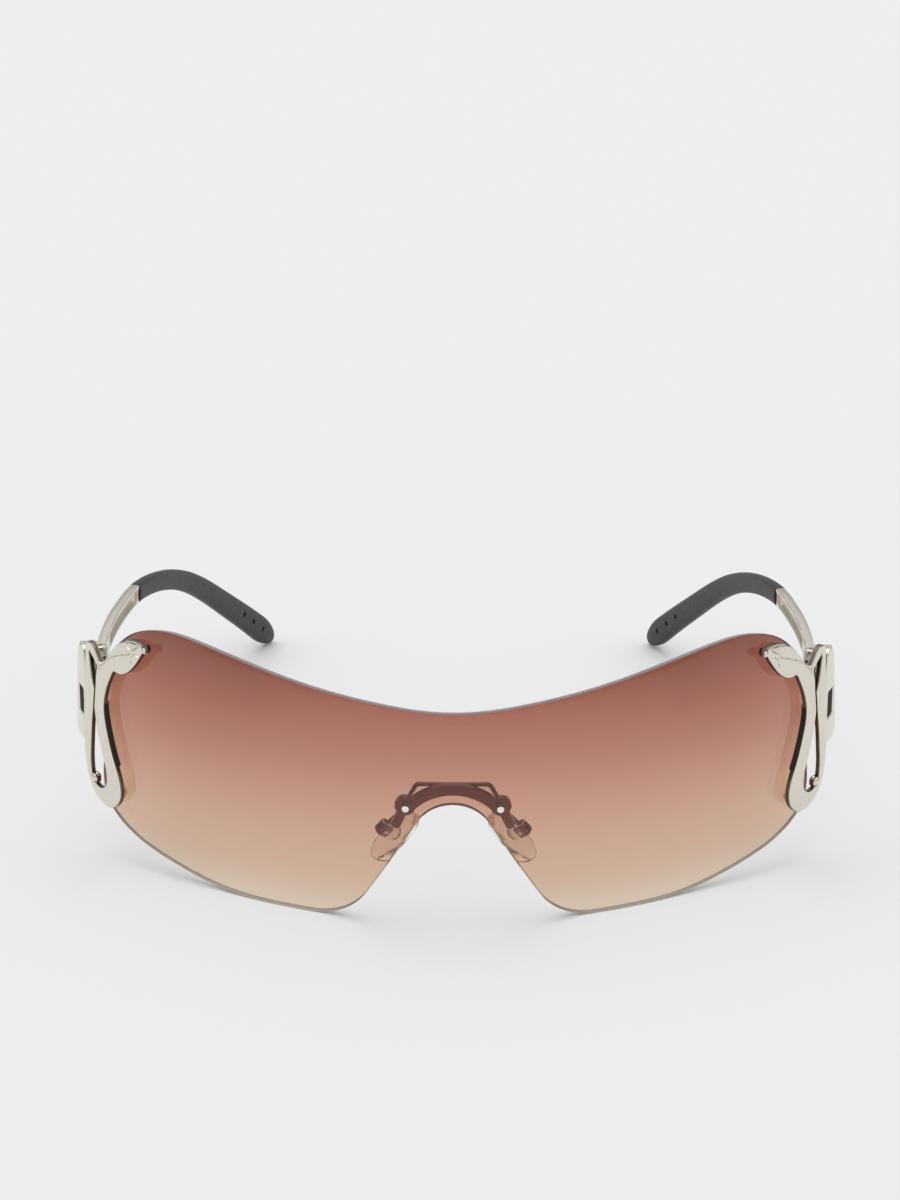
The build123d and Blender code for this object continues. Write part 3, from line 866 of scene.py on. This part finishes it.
def make_sleeve():
    """Soft sleeve: rounded section, growing towards a half-round tip."""
    start = arm_end_y + sleeve_gap
    reach = sleeve_height_tip * tip_round
    stations = list(np.linspace(start, tip_y - reach, 60))
    rings = []
    for k, y in enumerate(stations):
        share = (y - start) / (stations[-1] - start)
        height = sleeve_height_front + (paddle_height - sleeve_height_front) * share**1.6
        solid = sleeve_height_front + (sleeve_height_tip - sleeve_height_front) * share
        swell = 1.0 if k else 0.95
        lift = (height - solid) / 2
        rings.append(temple_ring(y, soft_section(sleeve_thickness * swell, height * swell), lift))
        if k == 0:
            rings.append(temple_ring(y + 0.25, soft_section(sleeve_thickness, height), lift))
    foot, outward, upward, along = temple_station(tip_y - reach)
    lift = (paddle_height - sleeve_height_tip) / 2
    for k in range(1, 13):
        angle = math.pi / 2 * k / 12.3
        shrink = math.cos(angle)
        flat = math.cos(angle) ** 0.5
        section = soft_section(sleeve_thickness * flat, paddle_height * shrink)
        spot = foot + along * (reach * 1.36 * math.sin(angle)) + upward * lift
        rings.append([spot + outward * a + upward * b for a, b in section])
    sleeve = swept("temple_sleeve_left_soft", rings)
    cutters = []
    for k in range(tip_dimple_count):
        y = tip_y - tip_dimple_start - k * tip_dimple_spacing
        point, outward, upward, _ = temple_station(y)
        cutters.append((point + upward * lift - outward * sleeve_thickness / 2, -outward))
    radius = tip_dimple_diameter / 2
    depth = tip_dimple_depth
    cutter = turned("dimple_cutter", cutters, [
        (-depth, radius * 0.5), (-depth * 0.8, radius * 0.9), (-depth * 0.3, radius), (0.5, radius),
    ], 20)
    cut_out(sleeve, cutter)
    return sleeve


def bar_section(groove):
    """Arm's section with a groove of this depth in its inner face; X is outwards."""
    half, tall, edge = arm_thickness / 2, arm_height / 2, arm_edge
    wall = tall - channel_wall
    section = []
    for x, y, start in ((half, tall, 0), (-half, tall, 90), (-half, -tall, 180), (half, -tall, 270)):
        if start == 180:
            lip = min(edge * 0.5, groove * 0.5)
            section += [
                (-half, wall + lip), (-half + lip, wall), (-half + groove, wall),
                (-half + groove, -wall), (-half + lip, -wall), (-half, -wall - lip),
            ]
        for k in range(4):
            a = math.radians(start + 30 * k)
            cx, cy = x - math.copysign(edge, x), y - math.copysign(edge, y)
            section.append((cx + edge * math.cos(a), cy + edge * math.sin(a)))
    return section


def make_arm():
    """Flat metal arm, with a groove along its inner face that runs out in a half round."""
    stations = list(np.linspace(arm_start_y, arm_end_y, 44))
    stations += [channel_start_y + d for d in (-0.05, 0.05, 0.5)]
    stations += [channel_end_y + arm_height * 0.3 * d for d in (0.5, 0.8, 1.0)]
    rings = []
    rail = arm_height / 2 - channel_wall
    for y in sorted(stations):
        if y < channel_start_y or y > channel_end_y + rail:
            groove = 0.01
        elif y > channel_end_y:
            groove = channel_depth * math.sqrt(max(0.02, 1 - ((y - channel_end_y) / rail) ** 2))
        else:
            groove = channel_depth
        rings.append(temple_ring(y, bar_section(groove)))
    return swept("temple_arm_left_bar", rings, 30)


panel_route = [Vector(p) for p in curve_through(panel_line, 0.3)]


def on_panel(u, v, height):
    """Placing of the panel's drawing: u is the distance back, v the height, then its depth."""
    last = len(panel_route) - 1
    for i, (one, two) in enumerate(zip(panel_route, panel_route[1:])):
        if two.y >= u or i == last - 1:
            break
    point = one.lerp(two, (u - one.y) / (two.y - one.y))
    along = (panel_route[min(i + 2, last)] - panel_route[max(i - 1, 0)]).normalized()
    outward = Vector((along.y, -along.x))
    spot = point + outward * (height - panel_thickness)
    return Vector((spot.x, spot.y + front_y, v))


def make_panel():
    """Slotted outer panel of the temple."""
    outline = rounded_polygon(panel_outline, panel_corner_rounds, 0.4)
    slot = rounded_polygon(slot_outline, [slot_round] * 4, 0.4)
    bevels = (0.15, 0.28)
    return plate("temple_panel_left", [outline, slot], on_panel, 0, panel_thickness, bevels, 0.6)


def make_inlay():
    """Dark fill, set back in the panel's slot."""
    middle_u, middle_v = (sum(places) / len(places) for places in zip(*slot_outline))
    corners = [
        (u + math.copysign(inlay_clearance, middle_u - u), v + math.copysign(inlay_clearance, middle_v - v))
        for u, v in slot_outline
    ]
    outline = rounded_polygon(corners, [inlay_round] * 4, 0.5)
    high = panel_thickness - inlay_recess
    return plate("temple_panel_left_inlay", [outline], on_panel, inlay_recess, high, (0.08, 0.08), 0.7)


def make_block():
    """Block that joins arm and panel, with eased edges."""
    inner = temple_points[1][0] - arm_thickness / 2 + block_setback
    mid_x, _ = panel_line[2]
    back_x, _ = panel_line[3]
    plan = [
        (inner, arm_start_y), (mid_x - panel_thickness * 0.6, arm_start_y),
        (back_x - panel_thickness * 0.6, block_back_y), (inner, block_back_y),
    ]
    top = temple_points[1][2] + arm_height / 2 - block_drop

    def upright(u, v, height):
        return Vector((u, v + front_y, height))

    outline = rounded_polygon(plan, [0.2] * 4, 0.4)
    return plate("temple_block_left", [outline], upright, block_bottom, top, (0.2, 0.2), 0.8)


def make_hinge_screw():
    """Left hinge screw: round head with a driver's slot across it, and plain shank."""
    top = Vector((hinge_x, hinge_y + front_y, hinge_bottom + hinge_height))
    up = Vector((0, 0, 1))
    radius, height = hinge_screw_head / 2, hinge_screw_head_height
    edge = radius * 0.22
    head = turned("hinge_screw_left_head", [(top, up)], [
        (0, radius), (height - edge, radius), (height - edge * 0.3, radius - edge * 0.3),
        (height, radius - edge),
    ])
    across = up.orthogonal().normalized()
    other = up.cross(across)
    half, low, high = hinge_slot_width / 2, height * 0.5, height * 2
    corners = [(-half, low), (half, low), (half, high), (-half, high)]
    cut_out(head, swept("slot_cutter", [
        [top + other * reach + across * w + up * h for w, h in corners]
        for reach in (-radius * 1.2, radius * 1.2)
    ]))
    radius = hinge_screw_diameter / 2
    shank = turned("hinge_screw_left_shank", [(top, up)], [
        (-hinge_height, radius - 0.1), (-hinge_height + 0.1, radius), (0.05, radius),
    ])
    return head, shank


# ---- finishes ----
class Value:
    """One socket of a finish, or a number; arithmetic on it adds the node that does it."""

    def __init__(self, finish, socket):
        self.finish = finish
        self.socket = socket

    def math(self, operation, first, second):
        node = self.finish.node("Math", {"operation": operation}, {0: first, 1: second})
        return Value(self.finish, node.outputs[0])

    def __add__(self, other):
        return self.math("ADD", self, other)

    __radd__ = __add__

    def __sub__(self, other):
        return self.math("SUBTRACT", self, other)

    def __mul__(self, other):
        return self.math("MULTIPLY", self, other)

    def __truediv__(self, other):
        return self.math("DIVIDE", self, other)


class Finish:
    """Nodes of a material, or of a world: added by type, with settings first and then sockets."""

    def __init__(self, name, world=None):
        self.owner = world or bpy.data.materials.new(name)
        self.owner.use_nodes = True
        self.tree = self.owner.node_tree
        self.tree.nodes.clear()

    def node(self, kind, settings=None, sockets=None):
        made = self.tree.nodes.new("ShaderNode" + kind)
        for key, value in (settings or {}).items():
            if key == "stops":
                self.set_stops(made.color_ramp, value)
            else:
                setattr(made, key, value)
        for key, value in (sockets or {}).items():
            if isinstance(value, Value):
                self.tree.links.new(value.socket, made.inputs[key])
            else:
                made.inputs[key].default_value = value
        return made

    def take(self, kind, output=0, settings=None, sockets=None):
        return Value(self, self.node(kind, settings, sockets).outputs[output])

    def set_stops(self, ramp, stops):
        while len(ramp.elements) < len(stops):
            ramp.elements.new(0.5)
        for element, (place, colour) in zip(ramp.elements, stops):
            element.position = place
            element.color = (*colour, 1)

    def place(self):
        return self.take("TexCoord", "Object")

    def axis(self, letter, place=None):
        """One coordinate of the piece's own place, or of another place."""
        return self.take("SeparateXYZ", letter, None, {0: place or self.place()})

    def grain(self, size, detail=3.0, stretch=None):
        """Soft noise from 0 to 1 whose features are about this many millimetres."""
        where = self.place()
        if stretch:
            where = self.take("VectorMath", 0, {"operation": "MULTIPLY"}, {0: where, 1: stretch})
        sockets = {"Vector": where, "Scale": 1 / (size * MM), "Detail": detail}
        return self.take("TexNoise", 0, None, sockets)

    def shade(self, dark, light, amount):
        """Colour between two, by an amount from 0 to 1."""
        return self.take("Mix", 2, {"data_type": "RGBA"}, {0: amount, 6: (*dark, 1), 7: (*light, 1)})

    def bump(self, height, depth, strength=1.0):
        sockets = {"Height": height, "Distance": depth * MM, "Strength": strength}
        return self.take("Bump", 0, None, sockets)

    def surface(self, **sockets):
        named = {key.replace("_", " "): value for key, value in sockets.items()}
        return self.take("BsdfPrincipled", 0, None, named)

    def output(self, shader):
        self.node("OutputMaterial", None, {0: shader})
        return self.owner

    def lets_lamps_through(self, shader, share):
        """Clear piece: each face passes this share of lamp and sky light, so its shadow is faint."""
        paths = self.node("LightPath")
        shadow, diffuse = (Value(self, paths.outputs[f"Is {ray} Ray"]) for ray in ("Shadow", "Diffuse"))
        light = shadow + diffuse
        clear = self.take("BsdfTransparent", 0, None, {"Color": (share, share, share, 1)})
        return self.take("MixShader", 0, None, {0: light, 1: shader, 2: clear})


lens_tint_by_height = [
    (0.00, (0.86, 0.72, 0.57)), (0.10, (0.783, 0.595, 0.446)), (0.18, (0.742, 0.517, 0.375)),
    (0.34, (0.715, 0.448, 0.317)), (0.51, (0.646, 0.342, 0.247)), (0.665, (0.528, 0.237, 0.167)),
    (0.82, (0.438, 0.160, 0.110)), (0.93, (0.349, 0.117, 0.081)), (1.00, (0.28, 0.09, 0.058)),
    (1.10, (0.21, 0.066, 0.043)),
]
tint_reach = lens_tint_by_height[-1][0]
# Painted reflection and shade of the lens's cut edge, by height.
edge_painted_reflection_by_height = [
    (0.00, (0.34, 0.31, 0.26)), (0.10, (0.27, 0.23, 0.19)), (0.26, (0.13, 0.085, 0.065)),
    (0.45, (0.13, 0.08, 0.06)), (0.80, (0.20, 0.16, 0.17)), (1.00, (0.22, 0.18, 0.20)),
]


def lens_finish():
    """Tinted lens: plum brown at the brow, pale sand at the foot, with the tint deepened a little at the
    sides as painted shade for the longer path through the glass there.
    """
    it = Finish("tinted_lens")
    share = it.axis("Z") / (lens_corner_height * MM)
    side = it.axis("X") / (lens_half_width * MM)
    # Painted shade: deeper tint towards the sides for the longer light path there.
    painted_side_shade = share * (side * side * 0.12 - 0.04)
    uneven = (it.grain(9.0) - 0.5) * 0.012
    stops = [(place / tint_reach, colour) for place, colour in lens_tint_by_height]
    tint = it.take("ValToRGB", 0, {"stops": stops}, {0: (share + painted_side_shade + uneven) / tint_reach})
    shader = it.surface(Base_Color=tint, Roughness=0.0, IOR=1.5, Transmission_Weight=1.0)
    return it.output(it.lets_lamps_through(shader, 0.96))


def lens_edge_finish():
    """Cut edge of the lens: polished, its colours a painted reflection and shade of the glass edge, greyish
    at the brow, brown below it, paler at the foot.
    """
    it = Finish("lens_cut_edge_painted_reflection")
    share = it.axis("Z") / (lens_corner_height * MM)
    tint = it.take("ValToRGB", 0, {"stops": edge_painted_reflection_by_height}, {0: share})
    polish = it.grain(0.5)
    rough = 0.22 + polish * 0.1
    return it.output(it.surface(Base_Color=tint, Roughness=rough, Specular_IOR_Level=0.5))


def metal_finish(name, dark, light, rough):
    """A metal between two close colours, with faint casting waves and fine rubbing marks."""
    it = Finish(name)
    cloud = it.grain(2.4, 2.0)
    rubbed = it.grain(0.09, 2.0, (1, 1, 0.25))
    colour = it.shade(dark, light, cloud)
    waves = it.bump(it.grain(3.0, 1.0), 0.012)
    rough = rough + rubbed * 0.06
    return it.output(it.surface(Base_Color=colour, Metallic=1.0, Roughness=rough, Normal=waves))


def sleeve_finish():
    """Charcoal acetate sleeve: satin, with a mottled brown grain."""
    it = Finish("charcoal_sleeve")
    cloud = it.grain(2.2)
    grain = it.grain(0.3, 5.0)
    mottle = (grain - 0.5) * 2.6 + (cloud - 0.5) * 1.0 + 0.5
    colour = it.shade((0.014, 0.0105, 0.0105), (0.070, 0.057, 0.056), mottle)
    return it.output(it.surface(
        Base_Color=colour, Roughness=0.42 + cloud * 0.12, Normal=it.bump(grain, 0.04, 0.8),
        Specular_IOR_Level=0.3,
    ))


def pad_finish():
    """Clear silicone with a breath of haze."""
    it = Finish("clear_silicone")
    cloud = it.grain(1.5)
    colour = it.shade((0.90, 0.87, 0.83), (0.97, 0.95, 0.92), cloud)
    haze = 0.07 + cloud * 0.06
    shader = it.surface(Base_Color=colour, Roughness=haze, IOR=1.42, Transmission_Weight=1.0)
    return it.output(it.lets_lamps_through(shader, 0.97))


def strip_finish():
    """Black rubber strip with a matt grain."""
    it = Finish("black_rubber_strip")
    grain = it.grain(0.12, 4.0)
    colour = it.shade((0.012, 0.009, 0.007), (0.034, 0.026, 0.021), grain)
    return it.output(it.surface(
        Base_Color=colour, Roughness=0.6 + grain * 0.2, Normal=it.bump(grain, 0.015),
        Specular_IOR_Level=0.2,
    ))


def table_finish():
    """Pale card under the glasses, with the faintest tooth."""
    it = Finish("pale_card")
    tooth = it.grain(0.8, 4.0)
    colour = it.shade((0.846, 0.846, 0.846), (0.854, 0.854, 0.854), tooth)
    return it.output(it.surface(Base_Color=colour, Roughness=1.0, Specular_IOR_Level=0.0))


def wear(obj, *materials):
    """Gives a piece these materials in place of its own."""
    while obj.data.materials:
        obj.data.materials.pop()
    for material in materials:
        obj.data.materials.append(material)


# ---- put together ----
champagne = ((0.74, 0.695, 0.61), (0.80, 0.755, 0.67))
silver = metal_finish("champagne_silver", *champagne, 0.10)
polished = metal_finish("polished_pins", (0.84, 0.82, 0.78), (0.90, 0.88, 0.85), 0.06)
steel = metal_finish("plated_hardware", (0.66, 0.62, 0.55), (0.74, 0.70, 0.62), 0.16)
satin = metal_finish("satin_temple_silver", *champagne, 0.26)
# Painted shade and dark reflection: a darker metal for the serpents' side walls, bevel rims and bead
# collars.
painted_shade_metal = metal_finish("side_walls_painted_shade", (0.12, 0.093, 0.078), (0.20, 0.16, 0.135), 0.20)
# Painted reflection: the hinge knuckles get a darker metal standing in for the dark bands they reflect.
knuckle_painted_reflection = metal_finish("knuckles_painted_dark_reflection", (0.34, 0.31, 0.28), (0.44, 0.40, 0.36), 0.14)
smoked = metal_finish("smoked_bridge_metal", (0.24, 0.16, 0.185), (0.30, 0.21, 0.24), 0.18)
tinted = lens_finish()
charcoal = sleeve_finish()
silicone = pad_finish()
rubber = strip_finish()


def fit(obj, node, body, slot, *materials):
    """Dresses a piece, stands it in for its CAD node and rides it on its body."""
    wear(obj, *materials)
    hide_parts(node)
    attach(obj, body)


def fit_pair(obj, node, body, slot, *materials):
    """The same for a piece drawn on the left, and its twin on the right; {} is the side."""
    twin = other_side(obj, obj.name.replace("_left", "_right"))
    for piece, side in ((obj, "left"), (twin, "right")):
        fit(piece, node.format(side), body.format(side), slot, *materials)


fit(make_lens(), "shield_lens", "front", "lens", tinted, lens_edge_finish())
fit(make_pins(), "bridge_pins", "front", "silver", polished)
fit(make_wire(), "pad_wire", "front", "silver", smoked)
fit_pair(make_serpent(), "serpent_{}", "front", "silver", silver, painted_shade_metal)
for piece in [make_posts()] + make_beads():
    fit_pair(piece, "serpent_{}", "front", "silver", silver)
# Painted shade: the collars wear the dark wall metal as a dark outline round the beads.
for piece in make_collars():
    fit_pair(piece, "serpent_{}", "front", "silver", painted_shade_metal)
for piece in make_cushion():
    fit_pair(piece, "serpent_cushion_{}", "front", "black_cushion", rubber)
for piece in make_pad():
    fit_pair(piece, "nose_pad_{}", "pad_{}", "pad", silicone)
fit_pair(make_pad_box(), "pad_box_{}", "front", "silver", smoked)
fit_pair(make_arm(), "temple_arm_{}", "temple_{}", "silver", satin)
for piece in (make_panel(), make_block()):
    fit_pair(piece, "temple_arm_{}", "temple_{}", "silver", silver)
fit_pair(make_sleeve(), "temple_sleeve_{}", "temple_{}", "sleeve", charcoal)
fit_pair(make_inlay(), "temple_arm_{}", "temple_{}", "black_cushion", rubber)
for piece in make_hinge_screw():
    fit_pair(piece, "hinge_screw_{}", "front", "silver", steel)

cad_finishes = {
    "bridge": smoked, "serpent_nuts": steel, "pad_screw": steel, "hinge_front": knuckle_painted_reflection,
    "hinge_temple": knuckle_painted_reflection,
}
for name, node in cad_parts.items():
    family = name.rsplit("_", 1)[0]
    wear(node, cad_finishes.get(family, silver))

# ---- table, light and camera ----
floor_mesh = bmesh.new()
bmesh.ops.create_grid(floor_mesh, x_segments=2, y_segments=2, size=4.0)
floor = finished("table", floor_mesh)
wear(floor, table_finish())


def aim(obj, direction):
    obj.rotation_mode = "QUATERNION"
    obj.rotation_quaternion = direction.to_track_quat("-Z", "Y")


camera_place = Vector((8.24, front_y - 674.05, 361.58)) * MM
camera_aim = Vector((-0.72, front_y + 13.59, 62.29)) * MM
camera_data = bpy.data.cameras.new("camera")
camera_data.sensor_width = 36.0
camera_data.lens = 121.16
camera = bpy.data.objects.new("camera", camera_data)
bpy.context.scene.collection.objects.link(camera)
camera.location = camera_place
aim(camera, camera_aim - camera_place)
bpy.context.scene.camera = camera

key = bpy.data.lights.new("key", "SUN")
key.energy = 0.55
key.angle = math.radians(50)
key_lamp = bpy.data.objects.new("key", key)
bpy.context.scene.collection.objects.link(key_lamp)
aim(key_lamp, Vector((0.1, -0.25, -1.0)))

backdrop = 0.84
reflected_greys = [(0.0, backdrop), (0.12, 0.70), (0.18, 0.08), (0.27, 0.08), (0.34, 0.66), (0.55, 0.96)]


def studio_world():
    """Even pale grey light; mirror-like surfaces see a dark band in it near the horizon."""
    world = bpy.data.worlds.new("studio")
    it = Finish("studio", world)
    rise = it.axis("Z", it.take("TexCoord", "Generated"))
    stops = [(place, (grey,) * 3) for place, grey in reflected_greys]
    seen = it.take("ValToRGB", 0, {"stops": stops}, {0: rise})
    glossy = it.take("LightPath", "Is Glossy Ray")
    plain = (backdrop, backdrop, backdrop, 1)
    colour = it.take("Mix", 2, {"data_type": "RGBA"}, {0: glossy, 6: plain, 7: seen})
    back = it.take("Background", 0, None, {0: colour, 1: 1.0})
    it.node("OutputWorld", None, {0: back})
    return world


bpy.context.scene.world = studio_world()
bpy.context.scene.view_settings.view_transform = "Standard"
